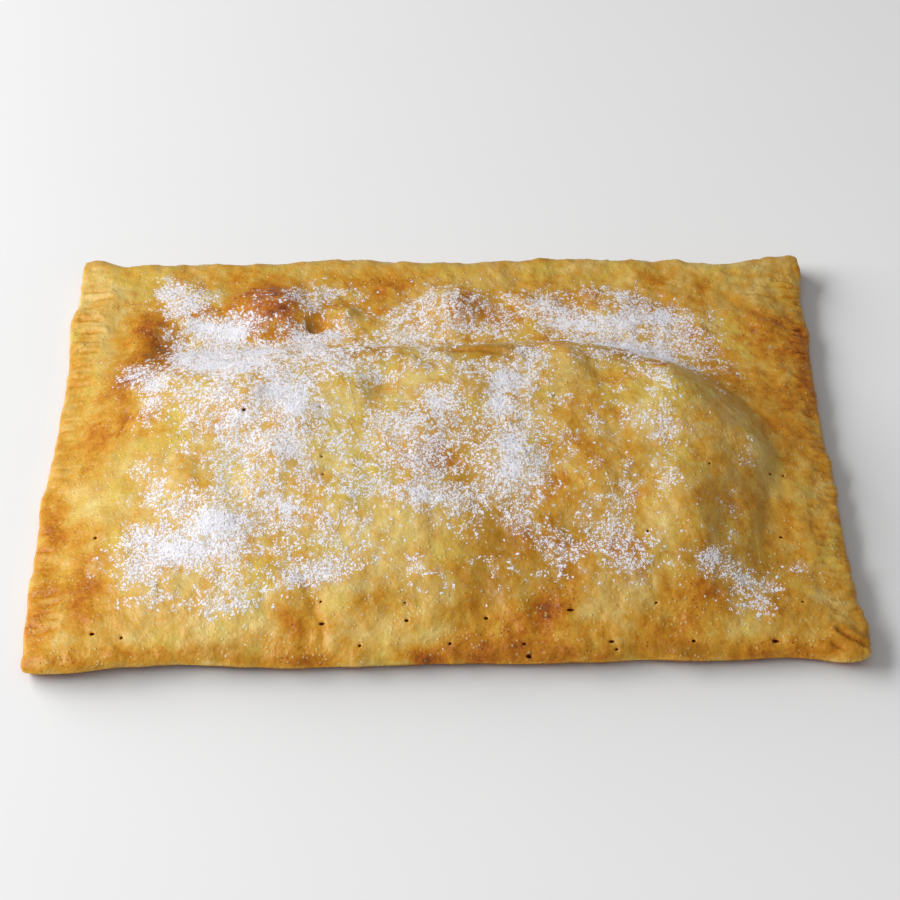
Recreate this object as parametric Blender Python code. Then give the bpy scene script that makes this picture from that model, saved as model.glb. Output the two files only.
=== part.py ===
# Apple strudel: one sheet of pastry folded over an apple filling, its two short ends
# sealed with a fork. It is whole and uncut, so it is one closed solid.
# Metres, +Z up. The origin is under the middle of the strudel, where it lies on the table.
import math

import bmesh
import bpy
from mathutils import Vector, noise

MM = 0.001

# Driving dimensions
LENGTH = 347.6 * MM         # along X, over the bulges of the two crimped ends
WIDTH = 238 * MM            # along Y, from the front fold to the back fold
FLANGE = 8 * MM             # top of the flat dough round the filling
FILLING = 20 * MM           # how far the filling lifts the top above the flange
DOUGH = 4.2 * MM            # thickness of the two layers pressed together at an end
CRIMP_PITCH = 4.6 * MM      # from one groove of the fork to the next
CRIMP_REACH = 14 * MM       # how far the grooves run in from the end
CRIMP_DEPTH = 0.9 * MM

# The rim, from the top sheet down to the flat of the underside: distance in from the outline
RIM_TOP = 1.2 * MM
RIM_LOW = 1.0 * MM
REST_INSET = 3.2 * MM
RIM_MIDDLE_HEIGHT = 2.0 * MM
RIM_LOW_HEIGHT = 0.6 * MM
END_ROUND = 4 * MM
FRONT_ROUND = 6 * MM
BACK_ROUND = 7 * MM
CORNER_ROUND = 3 * MM

# Mesh: cells are one crimp pitch deep; the ends carry closer columns
CELL_WIDTH = 4.3 * MM
END_COLUMNS = [RIM_TOP, 5 * MM, 9.5 * MM, CRIMP_REACH, 18 * MM]
FOLD_ROWS = [RIM_TOP, 4.6 * MM]

# Each side of the outline: its place from the middle, then bulges along it as
# (place along the side, reach, how far it stands out)
SIDES = {
    "left": (LENGTH / 2 - 1 * MM, [(74, 11, 1.9), (25, 30, -0.8), (-40, 18, 0.9), (-118, 12, -2.0)]),
    "right": (LENGTH / 2 - 3 * MM, [(106, 10, 2.0), (70, 12, 1.0), (15, 30, -0.8), (-106, 14, 3.2)]),
    "front": (WIDTH / 2, [(-160, 22, 3.8), (-106, 14, -0.8), (-55, 30, 1.4), (32, 12, 0.8),
                                   (86, 14, -0.8), (137, 14, -1.2), (165, 10, 2.0)]),
    "back": (WIDTH / 2 - 4 * MM, [(-166, 7, 3.4), (-45, 20, 2.8), (58, 30, 1.2), (136, 17, -3.8),
                                  (160, 11, 2.2)]),
}

# The filling's foot: how far it keeps from each side, and how wide each flank is
FRONT_FLANK = 118 * MM
LEFT_FLANK = 96 * MM
BACK_FLANK = 24 * MM
RIGHT_FLANK = 32 * MM
LEFT_SOFTENING = 14 * MM    # how much wider the back flank grows towards the left
FOOT_STEP = 0.16            # share of the filling's height that rises at once from its foot
FOOT_STEP_WIDTH = 9 * MM
FOOT_FROM_LEFT = 12 * MM
FOOT_FROM_FRONT = 5 * MM
FOOT_BACK = 56 * MM         # Y of the foot behind the crest
FOOT_RIGHT = 147 * MM       # X of the foot at the right
FOOT_LEAN = 0.17            # how fast that foot draws in towards the front
CREST_SLANT = 2 * MM        # the foot runs this much further back at the right than in the middle
SHOULDER = (48 * MM, -14 * MM)  # centre of the round shoulder between the two

# What swells or sinks in the top, in millimetres: X, Y, reach in X, reach in Y, height
TRENCH_BUBBLES = [
    (-77, 78, 22, 18, 8.5),     # the large dark bubble
    (-136, 58, 12, 19, 4.0),
    (-43, 73, 8, 8, 3.6),
    (-60, 66, 6, 5, -3.2),      # the burst one beside it
    (5, 77, 16, 15, 7.5),
    (48, 78, 13, 11, 2.2),
    (82, 74, 22, 13, 3.6),
    (-118, 86, 14, 13, 2.6),
    (118, 70, 12, 16, 1.6),
    (150, 74, 9, 16, 1.8),
    (-46, 104, 16, 8, 1.6),
]
APPLE_LUMPS = [
    (57, 26, 9, 12, 3.2),       # the knob below the crest and the hollow at its right
    (71, 21, 9, 15, -1.6),
    (30, 31, 15, 8, 1.8),
    (101, 6, 13, 20, 3.4),
    (120, -2, 7, 18, -1.6),
    (102, -52, 14, 20, 5.0),    # the tall mound at the right and the hollow beside it
    (119, -55, 8, 20, -2.0),
    (129, -48, 7, 14, 1.6),
    (134, -18, 10, 13, 3.8),
    (5, 12, 20, 13, 2.8),
    (-12, 24, 11, 10, 1.6),
    (-41, 13, 12, 12, 3.4),     # the smooth bump that overhangs a shaded hollow
    (-24, 12, 9, 11, -2.2),
    (-62, -6, 14, 14, 2.0),
    (-86, 8, 12, 12, 2.8),
    (-98, 10, 8, 7, 1.8),
    (-118, 26, 9, 7, 1.8),
    (-108, -36, 14, 11, 3.0),
    (-88, -22, 10, 9, -1.4),
    (-70, -34, 13, 15, 2.4),
    (-95, -58, 15, 13, 3.0),
    (-112, -68, 10, 8, 1.6),
    (-76, -66, 10, 9, -1.4),
    (-44, -50, 16, 13, 2.2),
    (-14, -52, 20, 15, 2.6),
    (4, -34, 10, 9, -1.6),
    (-8, -14, 12, 11, 2.2),
    (28, -30, 14, 14, 2.8),
    (42, -8, 9, 11, -1.4),
    (66, -42, 12, 14, 3.0),
    (52, -60, 9, 9, -1.6),
    (74, -14, 11, 12, -2.2),
    (34, -72, 10, 8, 1.4),
]
FRONT_PLEATS = [
    (-121, -92, 16, 10, 1.6),
    (-88, -98, 18, 11, 1.8),
    (-64, -94, 8, 12, 1.4),
    (-53, -101, 4, 15, -2.0),   # the crease that runs down to the front fold
    (-38, -93, 14, 12, 2.2),
    (-20, -97, 6, 7, -1.5),
    (-6, -88, 9, 11, 2.4),
    (16, -96, 8, 9, -1.8),
    (28, -92, 6, 11, 1.6),
    (41, -100, 8, 8, -1.8),
    (66, -88, 18, 12, 2.8),
    (92, -106, 8, 8, -1.4),
    (106, -96, 11, 10, 1.8),
    (133, -98, 14, 10, 1.8),
]

# Corners and edges that curl off the table: X side, Y side, reach along X and Y, lift
CURLS = [
    (-1, 1, 9 * MM, 13 * MM, 3.4 * MM),
    (1, 1, 19 * MM, 15 * MM, 2.6 * MM),
    (1, -1, 12 * MM, 16 * MM, 1.6 * MM),
    (-1, -1, 60 * MM, 12 * MM, 0.9 * MM),
]

UNEVEN = 0.5 * MM           # gentle waves all over the top
UNEVEN_SIZE = 17 * MM
EDGE_WAVE = 0.45 * MM
EDGE_WAVE_SIZE = 11 * MM


def rise(t):
    """0 below 0, 1 above 1, with an even S between."""
    t = min(max(t, 0.0), 1.0)
    return t * t * (3 - 2 * t)


def swell(t):
    """Climbs at once from 0 and flattens out at 1, like a full pillow."""
    t = min(max(t, 0.0), 1.0)
    return 1 - (1 - t) ** 2


def hump(x, y, shape):
    """Height of one lump, bubble or hollow at a point."""
    centre_x, centre_y, reach_x, reach_y, height = (value * MM for value in shape)
    away = math.hypot((x - centre_x) / reach_x, (y - centre_y) / reach_y)
    return height * math.exp(-1.6 * away * away)


def side(name, along):
    """Distance of one side of the outline from the middle, at a place along it."""
    base, bulges = SIDES[name]
    wave = noise.noise(Vector((along / EDGE_WAVE_SIZE, len(name) * 3.7, 0.0)))
    out = base + EDGE_WAVE * wave
    for place, reach, amount in bulges:
        out += amount * MM * math.exp(-((along - place * MM) / (reach * MM)) ** 2)
    return out


def edge_distances(x, y):
    """How far a point lies inside the left, right, front and back sides."""
    return (side("left", y) + x, side("right", y) - x,
            side("front", x) + y, side("back", x) - y)


def inside_foot(x, y):
    """Distance in from the foot of the filling, and its flank there, behind and at the right."""
    from_x = max(x - SHOULDER[0] + FOOT_LEAN * max(SHOULDER[1] - y, 0.0), 0.0)
    from_y = max(y - SHOULDER[1], 0.0)
    reach_x = FOOT_RIGHT - SHOULDER[0]
    reach_y = FOOT_BACK - SHOULDER[1]
    flank = BACK_FLANK + LEFT_SOFTENING * rise((-x - 30 * MM) / (80 * MM))
    if from_x == 0.0 and from_y == 0.0:
        return reach_y, flank
    turn = math.atan2(from_x / reach_x, from_y / reach_y) / (math.pi / 2)
    flank += (RIGHT_FLANK - BACK_FLANK) * turn
    away = math.hypot(from_x, from_y)
    foot = away / math.hypot(from_x / reach_x, from_y / reach_y)
    return foot - away, flank


def filling(x, y):
    """How far the filling lifts the top sheet."""
    left, right, front, back = edge_distances(x, y)
    slant = CREST_SLANT * (rise(x / (55 * MM)) - rise((-x - 50 * MM) / (100 * MM)))
    inside, flank = inside_foot(x, y - slant)
    height = (1 - FOOT_STEP) * rise(inside / flank) + FOOT_STEP * rise(inside / FOOT_STEP_WIDTH)
    height *= swell((front - FOOT_FROM_FRONT) / FRONT_FLANK)
    height *= swell((left - FOOT_FROM_LEFT) / LEFT_FLANK)
    return FILLING * height


def crimp(along, in_from_end):
    """Ridge or groove that the fork leaves on an end, deeper in some places than others."""
    if in_from_end > CRIMP_REACH:
        return 0.0
    wave = math.cos(2 * math.pi * along / CRIMP_PITCH)
    strength = 0.45 + 0.9 * noise.noise(Vector((along / (11 * MM), in_from_end / (30 * MM), 4.0)))
    return 0.5 * CRIMP_DEPTH * wave * max(strength, 0.0) * rise((CRIMP_REACH - in_from_end) / (7 * MM))


def lift(x, y):
    """How far the edge stands off the table at a point."""
    total = 0.0
    for sign_x, sign_y, reach_x, reach_y, height in CURLS:
        away = math.hypot((x - sign_x * LENGTH / 2) / reach_x, (y - sign_y * WIDTH / 2) / reach_y)
        total += height * math.exp(-away * away)
    return total


def top_height(x, y):
    """Height of the top sheet."""
    left, right, front, back = edge_distances(x, y)
    end = max(min(left, right), 0.0)
    height = FLANGE - (FLANGE - DOUGH - 1.2 * MM) * (1 - rise(end / (20 * MM)))
    height -= 1.2 * MM * (1 - rise(front / (16 * MM)))
    height += 1.9 * MM * math.exp(-((back - 7 * MM) / (6 * MM)) ** 2)
    height += filling(x, y)
    for shape in TRENCH_BUBBLES + APPLE_LUMPS + FRONT_PLEATS:
        height += hump(x, y, shape)
    height += UNEVEN * noise.noise(Vector((x, y, 0.0)) / UNEVEN_SIZE)
    height += crimp(y, end)
    nearest = min(left / END_ROUND, right / END_ROUND, front / FRONT_ROUND, back / BACK_ROUND)
    roundness = math.sqrt(1 - (1 - min(max(nearest, 0.0), 1.0)) ** 2)
    height = RIM_MIDDLE_HEIGHT + (height - RIM_MIDDLE_HEIGHT) * roundness
    return height + lift(x, y)


def stations(size, close, step):
    """Places from one side to the other: the close ones at both sides, even ones between."""
    span = size - 2 * close[-1]
    count = round(span / step)
    middle = [close[-1] + span * index / count for index in range(1, count)]
    return close + middle + [size - inset for inset in reversed(close)]


def station_at(share, places):
    """Place that a grid coordinate from -1 to 1 stands for, between two stations if need be."""
    index = (share + 1) / 2 * (len(places) - 1)
    low = min(int(index + 1e-4), len(places) - 2)
    return places[low] + (places[low + 1] - places[low]) * (index - low)


def between_sides(x_in, y_in):
    """Moves a point of the plain rectangle to its place between the four uneven sides."""
    x, y = x_in - LENGTH / 2, y_in - WIDTH / 2
    x_share = (x_in - RIM_TOP) / (LENGTH - 2 * RIM_TOP)
    y_share = (y_in - RIM_TOP) / (WIDTH - 2 * RIM_TOP)
    for _ in range(3):
        left, right = RIM_TOP - side("left", y), side("right", y) - RIM_TOP
        front, back = RIM_TOP - side("front", x), side("back", x) - RIM_TOP
        x = left + (right - left) * x_share
        y = front + (back - front) * y_share
    return x, y


def round_corner(x, y):
    """Draws a corner of the sheet in to its rounded outline."""
    left, right, front, back = edge_distances(x, y)
    near_x, near_y = min(left, right), min(front, back)
    if near_x >= CORNER_ROUND or near_y >= CORNER_ROUND:
        return x, y
    out_x, out_y = CORNER_ROUND - near_x, CORNER_ROUND - near_y
    shrink = max(out_x, out_y) / math.hypot(out_x, out_y)
    move_x, move_y = out_x * (1 - shrink), out_y * (1 - shrink)
    return x - math.copysign(move_x, x), y - math.copysign(move_y, y)


def top_sheet(bm):
    """The top sheet as a grid, with twice the rows where the fork has pressed the ends."""
    columns = stations(LENGTH, END_COLUMNS, CELL_WIDTH)
    rows = stations(WIDTH, FOLD_ROWS, CRIMP_PITCH)
    x_cells, y_cells = len(columns) - 1, len(rows) - 1
    bmesh.ops.create_grid(bm, x_segments=x_cells, y_segments=y_cells, size=1.0)
    end_edges = []
    for edge in bm.edges:
        first, second = edge.verts
        column = round((first.co.x + 1) / 2 * x_cells)
        runs_along_y = abs(first.co.x - second.co.x) < 1e-6
        if runs_along_y and min(column, x_cells - column) < len(END_COLUMNS) - 1:
            end_edges.append(edge)
    bmesh.ops.subdivide_edges(bm, edges=end_edges, cuts=1)
    for vert in bm.verts:
        x, y = between_sides(station_at(vert.co.x, columns), station_at(vert.co.y, rows))
        x, y = round_corner(x, y)
        vert.co = (x, y, top_height(x, y))


def rim_loop(bm, edges, outward, height):
    """Draws the rim on from the last loop, outward or inward, to a height off the table."""
    grown = bmesh.ops.extrude_edge_only(bm, edges=edges)["geom"]
    verts = [item for item in grown if isinstance(item, bmesh.types.BMVert)]
    loop = {item for item in grown if isinstance(item, bmesh.types.BMEdge)}
    shifts = []
    for vert in verts:
        before, after = [edge.other_vert(vert).co for edge in vert.link_edges if edge in loop]
        along = after - before
        away = Vector((along.y, -along.x, 0.0)).normalized() * outward
        shifts.append(away if away.dot(vert.co) * outward > 0 else -away)
    for vert, shift in zip(verts, shifts):
        vert.co += shift
        vert.co.z = height
        if height > 0:
            vert.co.z += lift(vert.co.x, vert.co.y)
    return list(loop)


def strudel_mesh():
    """The whole strudel as one closed skin."""
    bm = bmesh.new()
    top_sheet(bm)
    border = [edge for edge in bm.edges if edge.is_boundary]
    border = rim_loop(bm, border, RIM_TOP, RIM_MIDDLE_HEIGHT)
    border = rim_loop(bm, border, -RIM_LOW, RIM_LOW_HEIGHT)
    border = rim_loop(bm, border, RIM_LOW - REST_INSET, 0.0)
    bmesh.ops.edgeloop_fill(bm, edges=border)
    bmesh.ops.recalc_face_normals(bm, faces=bm.faces)
    low = Vector([min(vert.co[axis] for vert in bm.verts) for axis in range(3)])
    high = Vector([max(vert.co[axis] for vert in bm.verts) for axis in range(3)])
    middle = (low + high) / 2
    bmesh.ops.translate(bm, verts=bm.verts, vec=(-middle.x, -middle.y, 0.0))
    bmesh.ops.triangulate(bm, faces=bm.faces)
    mesh = bpy.data.meshes.new("strudel")
    bm.to_mesh(mesh)
    bm.free()
    mesh.shade_smooth()
    return mesh


def pastry():
    """Golden baked pastry with an egg-washed, barely glossy skin."""
    material = bpy.data.materials.new("pastry")
    material.use_nodes = True
    shader = material.node_tree.nodes["Principled BSDF"]
    shader.inputs["Base Color"].default_value = (0.62, 0.38, 0.10, 1.0)
    shader.inputs["Roughness"].default_value = 0.55
    shader.inputs["Metallic"].default_value = 0.0
    return material


def build():
    for old in list(bpy.data.objects):
        bpy.data.objects.remove(old, do_unlink=True)
    strudel = bpy.data.objects.new("strudel", strudel_mesh())
    strudel.data.materials.append(pastry())
    bpy.context.scene.collection.objects.link(strudel)


build()
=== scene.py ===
import math

import bmesh
import bpy
import numpy as np
from mathutils import Matrix, Vector, noise
from mathutils.bvhtree import BVHTree


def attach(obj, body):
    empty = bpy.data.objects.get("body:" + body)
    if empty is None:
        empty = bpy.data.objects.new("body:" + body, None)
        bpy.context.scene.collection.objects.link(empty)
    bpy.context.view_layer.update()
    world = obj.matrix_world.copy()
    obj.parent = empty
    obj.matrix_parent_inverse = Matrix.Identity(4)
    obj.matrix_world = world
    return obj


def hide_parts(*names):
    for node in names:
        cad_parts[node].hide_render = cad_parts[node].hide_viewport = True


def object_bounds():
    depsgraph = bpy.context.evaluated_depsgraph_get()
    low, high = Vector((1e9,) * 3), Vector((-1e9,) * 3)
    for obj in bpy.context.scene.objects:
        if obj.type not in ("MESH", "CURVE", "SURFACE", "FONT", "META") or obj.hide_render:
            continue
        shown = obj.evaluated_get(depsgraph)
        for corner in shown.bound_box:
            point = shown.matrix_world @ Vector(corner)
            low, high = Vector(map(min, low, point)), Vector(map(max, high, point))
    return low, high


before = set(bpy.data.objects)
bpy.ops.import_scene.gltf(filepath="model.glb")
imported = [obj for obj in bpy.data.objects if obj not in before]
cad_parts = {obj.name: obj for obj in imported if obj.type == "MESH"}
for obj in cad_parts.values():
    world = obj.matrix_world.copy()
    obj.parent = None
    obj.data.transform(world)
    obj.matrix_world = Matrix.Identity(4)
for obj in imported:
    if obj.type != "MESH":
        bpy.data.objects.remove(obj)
cadLow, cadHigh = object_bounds()
mm = 0.001

# Places on the strudel are in millimetres from its middle, X to the right and Y to the back, for
# someone who stands at the front fold. Lamps, the table and patterns in materials are in metres.
# Patches are (X, Y, reach in X, reach in Y, strength).


class Wire:
    # A shader socket: arithmetic on it adds Math nodes
    def __init__(self, socket):
        self.socket = socket

    def node(self, kind, settings=None, inputs=None, out=0):
        tree = self.socket.id_data
        made = tree.nodes.new(kind)
        for name, value in (settings or {}).items():
            if name == "stops":
                fillRamp(made.color_ramp, value)
            else:
                setattr(made, name, value)
        for name, value in (inputs or {}).items():
            if isinstance(value, Wire):
                tree.links.new(value.socket, made.inputs[name])
            else:
                made.inputs[name].default_value = value
        return Wire(made.outputs[out])

    def maths(self, operation, first, second=0.0):
        return self.node("ShaderNodeMath", {"operation": operation}, {0: first, 1: second})

    def __add__(self, other):
        return self.maths("ADD", self, other)

    def __radd__(self, other):
        return self.maths("ADD", other, self)

    def __sub__(self, other):
        return self.maths("SUBTRACT", self, other)

    def __rsub__(self, other):
        return self.maths("SUBTRACT", other, self)

    def __mul__(self, other):
        return self.maths("MULTIPLY", self, other)

    def __rmul__(self, other):
        return self.maths("MULTIPLY", other, self)

    # 0 up to low, 1 from high, an even S between
    def ease(self, low, high):
        settings = {"interpolation_type": "SMOOTHSTEP"}
        inputs = {"Value": self, "From Min": low, "From Max": high}
        return self.node("ShaderNodeMapRange", settings, inputs)

    # first colour where this is 0, second where it is 1
    def mixed(self, first, second):
        settings = {"data_type": "RGBA", "clamp_factor": True}
        return self.node("ShaderNodeMix", settings, {0: self, 6: first, 7: second}, out=2)

    # one coordinate of a vector: 0 is X, 1 is Y, 2 is Z
    def axis(self, index):
        return self.node("ShaderNodeSeparateXYZ", None, {0: self}, index)

    # cloudy values round 0.5, the clouds about size metres across
    def clouds(self, size, detail=2.0, roughness=0.5):
        inputs = {"Vector": self, "Scale": 1 / size, "Detail": detail, "Roughness": roughness}
        return self.node("ShaderNodeTexNoise", None, inputs)

    # 0 at scattered points about spacing metres apart, rising away from them
    def dots(self, spacing):
        inputs = {"Vector": self, "Scale": 1 / spacing, "Randomness": 1.0}
        return self.node("ShaderNodeTexVoronoi", None, inputs, "Distance")

    # a value that the mesh carries at its points
    def painted(self, name):
        return self.node("ShaderNodeAttribute", {"attribute_name": name}, None, "Fac")


def fillRamp(ramp, stops):
    while len(ramp.elements) > 1:
        ramp.elements.remove(ramp.elements[-1])
    for place, colour in stops:
        element = ramp.elements[0] if place == stops[0][0] else ramp.elements.new(place)
        element.position = place
        element.color = colour


def screenColour(red, green, blue):
    # a colour as it reads on a screen, 0 to 255, made linear for the shaders
    parts = [value / 255 for value in (red, green, blue)]
    return tuple(part / 12.92 if part < 0.04045 else ((part + 0.055) / 1.055) ** 2.4
                 for part in parts) + (1.0,)


def newMaterial(name):
    material = bpy.data.materials.new(name)
    material.use_nodes = True
    shader = material.node_tree.nodes["Principled BSDF"]
    places = material.node_tree.nodes.new("ShaderNodeTexCoord")
    return material, shader, Wire(places.outputs["Object"])


def feed(shader, socket, wire):
    shader.id_data.links.new(wire.socket, shader.inputs[socket])


def setValues(shader, values):
    for socket, value in values.items():
        shader.inputs[socket].default_value = value


def addObject(name, data):
    made = bpy.data.objects.new(name, data)
    bpy.context.scene.collection.objects.link(made)
    return made


# Camera
viewSettings = {
    "elevation": 48.5,             # degrees above the table
    "distance": 854.2,             # millimetres from the target
    "lens": 76.67,
    "sensor": 36.0,                # width
    "lean": 0.62,                  # degrees that the picture leans to the left
    "target": (3.8, 0.5),          # on the table
}


def addCamera(settings):
    rise = math.radians(settings["elevation"])
    lean = math.radians(settings["lean"])
    back = Vector((0.0, -math.cos(rise), math.sin(rise)))
    turn = Matrix.Rotation(-lean, 4, "Z")
    upright = Matrix.Rotation(math.pi / 2 - rise, 4, "X")
    target = Vector((settings["target"][0], settings["target"][1], 0.0)) * mm
    data = bpy.data.cameras.new("photoView")
    data.lens = settings["lens"]
    data.sensor_width = settings["sensor"]
    camera = addObject("photoView", data)
    place = Matrix.Translation(target + back * settings["distance"] * mm)
    camera.matrix_world = place @ upright @ turn
    bpy.context.scene.camera = camera


# Light: an even pale room and two soft lamps at the left. The low one throws the long soft shadow
# and lights the table alone; the crust is lit by a higher one, nearer and a little to the front.
lightSettings = {
    "room": 0.285,
    "lamps": {
        # size is width and height
        "lowWindow": {"place": (-2.65, 1.36, 0.88), "size": (3.5, 1.4), "power": 262.0, "lights": "table"},
        "highWindow": {"place": (-0.80, -0.20, 0.70), "size": (0.8, 0.8), "power": 11.0, "lights": "food"},
    },
}
tableSettings = {
    "halfSide": 12.0,
    "tone": 0.86,
    # painted light: the table is paler to the front and darker to the back, for the falloff of the light
    "paintedLightToFront": 0.28,        # how much paler a metre nearer is
    "reach": 0.42,               # as far as the tone changes, to the front and the back
    "clouds": (0.09, 3.0),       # size and detail
    "cloudy": 0.02,
    "roughness": 0.65,
}


def addLights(settings):
    # gives back the two groups that the lamps light
    groups = {name: bpy.data.collections.new(name) for name in ("table", "food")}
    for name, lamp in settings["lamps"].items():
        data = bpy.data.lights.new(name, "AREA")
        data.energy = lamp["power"]
        data.shape = "RECTANGLE"
        data.size, data.size_y = lamp["size"]
        made = addObject(name, data)
        made.location = lamp["place"]
        made.rotation_euler = (-Vector(lamp["place"])).to_track_quat("-Z", "Y").to_euler()
        made.light_linking.receiver_collection = groups[lamp["lights"]]
    world = bpy.data.worlds.new("room")
    world.use_nodes = True
    sky = world.node_tree.nodes["Background"]
    sky.inputs["Color"].default_value = (1.0, 1.0, 1.0, 1.0)
    sky.inputs["Strength"].default_value = settings["room"]
    bpy.context.scene.world = world
    bpy.context.scene.view_settings.view_transform = "Standard"
    return groups


def addTable(settings):
    bm = bmesh.new()
    bmesh.ops.create_grid(bm, x_segments=4, y_segments=4, size=settings["halfSide"])
    mesh = bpy.data.meshes.new("table")
    bm.to_mesh(mesh)
    bm.free()
    table = addObject("table", mesh)
    material, shader, place = newMaterial("whiteTable")
    # painted light: paler to the front, darker to the back
    back = place.maths("MINIMUM", place.axis(1), settings["reach"])
    back = place.maths("MAXIMUM", back, -settings["reach"])
    clouds = (place.clouds(*settings["clouds"]) - 0.5) * settings["cloudy"]
    feed(shader, "Base Color", back * -settings["paintedLightToFront"] + settings["tone"] + clouds)
    setValues(shader, {"Roughness": settings["roughness"]})
    mesh.materials.append(material)
    return table


# Crust
crustSettings = {
    "merge": 0.000002,             # metres between points of the solid that are one
    "pairAngles": (60, 70),        # degrees by which two triangles may differ to become a quad
    "levels": 2,                   # subdivisions of the plain solid
    "crisp": (38, 0.45),           # an edge that bends further, as the cut rim does, and its crease
    "upper": (0.05, 0.5),          # from steep to level, where all of the relief shows
    "sides": 0.25,                 # share of the unevenness that is left on steep parts
    "flatBelow": 0.05,             # the underside stays flat on the table
    "waves": [(11.0, 0.72), (5.4, 0.46), (2.3, 0.14)],  # size and height of the unevenness
    "waveSeed": 3.1,
    "bumpSeed": 7,
    "bumpFall": 1.6,               # how fast a bubble or a lump falls away
    # the middle, with no lumps and fewer bubbles: half length, front line, back line
    "middle": (142, -94, 86),
    "bubbles": {"count": 4200, "size": (0.8, 2.3), "height": (0.10, 0.40), "leftOut": 0.6},
    "lumps": {"count": 320, "size": (3.5, 8.0), "height": (0.3, 1.1)},   # along all four edges
    "forkMarks": {
        "seed": 5, "ends": 108.0, "spacing": 4.6, "uneven": (0.75, 1.25), "outer": (166, 172),
        "reach": (3.0, 9.0), "drift": 1.2, "depth": (0.1, 0.70), "leftShare": 0.6, "width": 0.8,
    },
    "lip": (0.4, 2.2),             # beside a groove: share of its depth, and place in half widths
    # places of the pricks, then half length and half width of the hole
    "pricks": [
        (-85.6, 0.4, 0.8, 0.7), (-52.5, 1.9, 0.7, 0.5), (-50.3, -26.3, 0.4, 0.4), (-50.5, -34.9, 0.4, 0.4),
        (-145.6, -57.1, 0.6, 0.5), (-141.9, -104.3, 0.8, 0.6), (-130.7, -106.5, 0.5, 0.6),
        (-49.9, -93.6, 0.4, 0.4), (-48.5, -102.6, 0.9, 0.5), (-14.4, -101.9, 0.7, 0.6),
        (-15.2, -94.2, 0.4, 0.3), (-33.0, -111.2, 0.5, 0.5), (2.6, -110.4, 0.5, 0.5),
        (17.7, -100.0, 0.7, 0.6), (52.3, -98.5, 1.2, 0.5), (68.0, -110.7, 0.9, 0.5),
        (70.0, -113.6, 0.5, 0.4), (35.2, -115.2, 0.9, 0.6), (32.5, -110.9, 0.6, 0.4),
        (85.7, -63.6, 0.5, 0.5), (101.2, -110.2, 0.6, 0.5), (134.8, -110.7, 1.1, 0.6),
        (142.8, -58.0, 0.6, 0.5), (147.5, -92.6, 0.4, 0.4), (113.7, -31.3, 0.4, 0.4),
        (112.9, 12.2, 0.4, 0.4), (49.9, 6.7, 0.4, 0.3), (141.8, -24.1, 0.6, 0.4),
        (148.3, -22.7, 0.4, 0.4), (87.1, -95.1, 0.5, 0.3),
    ],
    "prickDip": (1.4, 0.25),       # how much wider than the hole, and how deep
    # each step down: inset in half widths, depth, and the painted shade that darkens the hole
    "prickSteps": [(0.16, 0.5, 0.7), (0.10, 2.4, 1.0)],
    "creases": [
        # points, half width, depth
        ([(-56, -83), (-54, -92), (-50, -102), (-48, -113)], 1.8, 0.40),
        ([(-56, 35), (-49, 37), (-42, 39), (-36, 37)], 0.9, 0.7),
        ([(-33, 36), (-22, 35), (-14, 33), (-10, 30)], 0.9, 0.6),
        ([(-2, 35), (9, 36), (18, 35), (27, 32), (34, 29)], 1.2, 0.9),
        ([(22, 38), (34, 37), (46, 39)], 1.0, 0.5),
        ([(67, 40), (80, 34), (89, 30), (97, 28)], 1.0, 0.5),
        ([(63, 34), (67, 26), (72, 18)], 4.0, 0.3),
        ([(130, 25), (141, 15), (152, -1)], 1.6, 0.5),
        ([(136, 104), (146, 101), (158, 102), (166, 101)], 1.1, 0.6),
        ([(138, 97), (150, 96), (164, 96)], 1.0, 0.5),
        ([(142, 90), (154, 88), (166, 89)], 0.9, 0.4),
        ([(133, 90), (141, 82), (150, 75), (160, 69), (168, 66)], 2.6, 0.5),
        ([(161, -106), (165, -109), (171, -112)], 1.2, 1.3),
        ([(157, -112), (163, -115)], 0.9, 0.7),
        ([(12, 87), (19, 81), (22, 73)], 1.6, 0.5),
        ([(-165, -83), (-160, -82)], 1.1, 0.5),
        ([(-165, -89), (-159, -88)], 1.3, 0.45),
        ([(-164, -96), (-158, -96)], 1.2, 0.5),
        ([(-164, -102), (-158, -101)], 1.1, 0.4),
        ([(-168, 98), (-158, 97)], 1.1, 0.5), ([(-168, 93), (-156, 92)], 1.1, 0.6),
        ([(-169, 79), (-160, 78)], 1.1, 0.7), ([(-169, 71), (-158, 70)], 1.2, 0.8),
        ([(-169, 65), (-160, 64)], 1.0, 0.5), ([(-168, 58), (-159, 57)], 1.1, 0.5),
        ([(-152, 86), (-146, 88), (-137, 88)], 1.0, 0.4),
        ([(-137, 10), (-140, 4), (-142, -3)], 0.8, 0.5),
    ],
    # the blister that broke; its wall, and the place and width of its lip, count in reaches
    "burst": {"place": (-58, 71), "reach": (5.0, 4.4), "depth": 3.2, "wall": (0.55, 1.15),
              "lip": (0.5, 1.25, 0.2)},    # height, place, width
    # blisters that stayed whole: place, reach in X and Y, height
    "blisters": [
        (-47, 77, 6.0, 6.0, 1.9), (137, -15, 6.5, 6.0, 1.8), (145, -17, 3.6, 4.0, 0.8),
        (133, -24, 3.0, 3.0, 0.5), (119, 12, 2.2, 2.0, 0.6), (112, 11, 1.8, 1.8, 0.5),
    ],
}
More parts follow.
